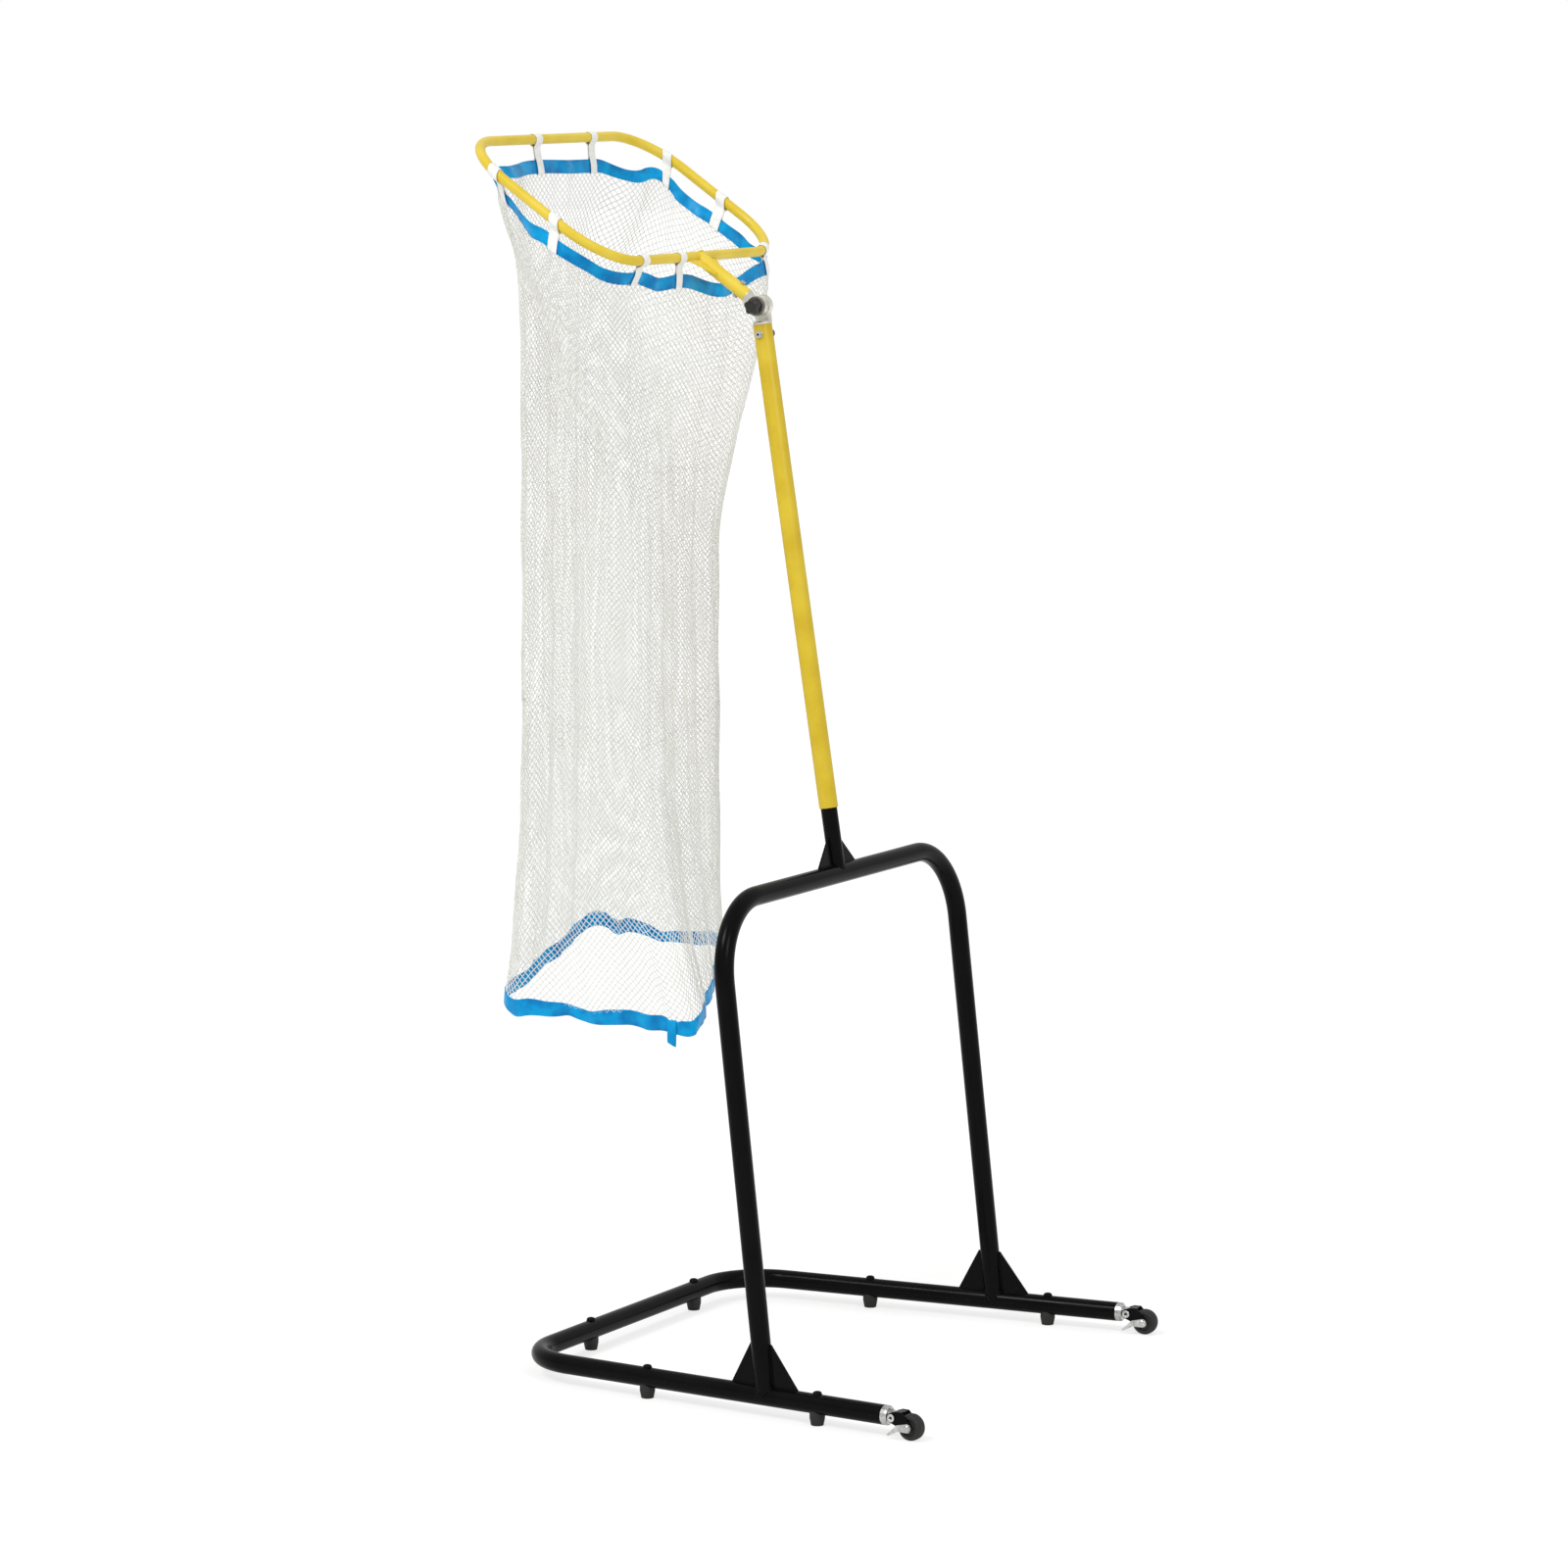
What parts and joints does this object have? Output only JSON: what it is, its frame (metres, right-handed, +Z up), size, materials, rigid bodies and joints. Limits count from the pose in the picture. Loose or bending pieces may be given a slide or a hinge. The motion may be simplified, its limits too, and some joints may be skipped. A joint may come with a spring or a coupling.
{
  "type": "volleyball practice net",
  "caption": "Free-standing volleyball practice net: a tilting hoop on a leaning pole holds an open net tube over a wheeled tube frame.",
  "frame": {"origin": "floor level under the middle of the object's box", "axes": "+X from the front bar of the floor frame towards its wheels, +Y from the near side towards the far side, +Z up"},
  "size_m": [1.2536, 1.1674, 2.6701],
  "materials": {
    "black_enamel": "gloss black paint on steel tube",
    "yellow_enamel": "semi-gloss yellow paint on steel tube",
    "zinc": "zinc-plated steel",
    "cast_alloy": "tumbled casting",
    "dark_alloy": "dark coated casting",
    "black_plastic": "moulded black plastic",
    "black_rubber": "moulded black rubber",
    "white_webbing": "woven white webbing",
    "blue_hem": "coated blue fabric",
    "white_net": "knotless white netting"
  },
  "bodies": {
    "stand": {"base_tube": "black_enamel", "foot_front_near": "black_rubber", "foot_front_far": "black_rubber", "foot_near_front": "black_rubber", "foot_near_rear": "black_rubber", "foot_far_front": "black_rubber", "foot_far_rear": "black_rubber", "foot_bolt_front_near": "black_enamel", "foot_bolt_front_far": "black_enamel", "foot_bolt_near_front": "black_enamel", "foot_bolt_near_rear": "black_enamel", "foot_bolt_far_front": "black_enamel", "foot_bolt_far_rear": "black_enamel", "leg_frame": "black_enamel", "leg_gusset_near_front": "black_enamel", "leg_gusset_near_rear": "black_enamel", "leg_gusset_far_front": "black_enamel", "leg_gusset_far_rear": "black_enamel", "mast_stub": "black_enamel", "stub_gusset_near": "black_enamel", "stub_gusset_far": "black_enamel", "end_plug_near": "zinc", "end_plug_far": "zinc", "caster_yoke_near": "black_enamel", "caster_yoke_far": "black_enamel", "yoke_bolt_near": "zinc", "yoke_bolt_far": "zinc", "axle_bolt_near": "zinc", "axle_bolt_far": "zinc"},
    "mast": {"pole_tube": "yellow_enamel", "pole_stop": "black_plastic", "clamp_bolt": "zinc", "joint_base": "cast_alloy", "joint_bolt": "zinc", "pressure_disc": "dark_alloy"},
    "hoop": {"joint_head": "cast_alloy", "stub_bolt": "zinc", "hoop_stub": "yellow_enamel", "hoop_gusset_near": "yellow_enamel", "hoop_gusset_far": "yellow_enamel", "hoop_tube": "yellow_enamel", "strap_rear": "white_webbing", "strap_rear_far": "white_webbing", "strap_far_rear": "white_webbing", "strap_far_front": "white_webbing", "strap_front_far": "white_webbing", "strap_front_near": "white_webbing", "strap_near_front": "white_webbing", "strap_near_rear": "white_webbing", "strap_rear_near": "white_webbing", "top_hem": "blue_hem", "net_top": "white_net"},
    "net": {"net_body": "white_net", "bottom_hem": "blue_hem"},
    "tilt_clamp": {"star_knob": "black_plastic"},
    "pole_clamp": {"clamp_knob": "black_plastic"},
    "wheel_near": {"caster_wheel_near": "black_rubber"},
    "wheel_far": {"caster_wheel_far": "black_rubber"},
    "lever_near": {"brake_lever_near": "zinc"},
    "lever_far": {"brake_lever_far": "zinc"}
  },
  "joints": [
    {"name": "mast_turn", "type": "hinge", "parent": "stand", "child": "mast", "pos_m": [0.11861, -0.0001, 1.07939], "axis": [-0.1557, 0, 0.9878], "range_deg": [-25, 25]},
    {"name": "hoop_tilt", "type": "hinge", "parent": "mast", "child": "hoop", "pos_m": [-0.07459, -0.0001, 2.30475], "axis": [0, 1, 0], "range_deg": [-34, 20], "deforming": ["net_top"]},
    {"name": "net_hang", "type": "hinge", "parent": "hoop", "child": "net", "pos_m": [-0.41263, -0.0001, 2.53276], "axis": [0, 1, 0], "range_deg": [-20, 34]},
    {"name": "tilt_clamp_turn", "type": "hinge", "parent": "mast", "child": "tilt_clamp", "pos_m": [-0.07459, -0.0227, 2.30475], "axis": [0, 1, 0], "range_deg": [0, 360]},
    {"name": "pole_clamp_turn", "type": "hinge", "parent": "mast", "child": "pole_clamp", "pos_m": [-0.06509, -0.0001, 2.2445], "axis": [0, 1, 0], "range_deg": [0, 360]},
    {"name": "wheel_near_spin", "type": "hinge", "parent": "stand", "child": "wheel_near", "pos_m": [0.5985, -0.55969, 0.028], "axis": [0.0848, 0.9964, 0], "continuous": true},
    {"name": "wheel_far_spin", "type": "hinge", "parent": "stand", "child": "wheel_far", "pos_m": [0.5985, 0.5595, 0.028], "axis": [-0.0848, 0.9964, 0], "continuous": true},
    {"name": "lever_near_lift", "type": "hinge", "parent": "stand", "child": "lever_near", "pos_m": [0.5985, -0.55969, 0.028], "axis": [0.0848, 0.9964, 0], "range_deg": [0, 20]},
    {"name": "lever_far_lift", "type": "hinge", "parent": "stand", "child": "lever_far", "pos_m": [0.5985, 0.5595, 0.028], "axis": [-0.0848, 0.9964, 0], "range_deg": [0, 20]}
  ],
  "couplings": [
    {"joint": "net_hang", "follows": "hoop_tilt", "ratio": -1}
  ]
}
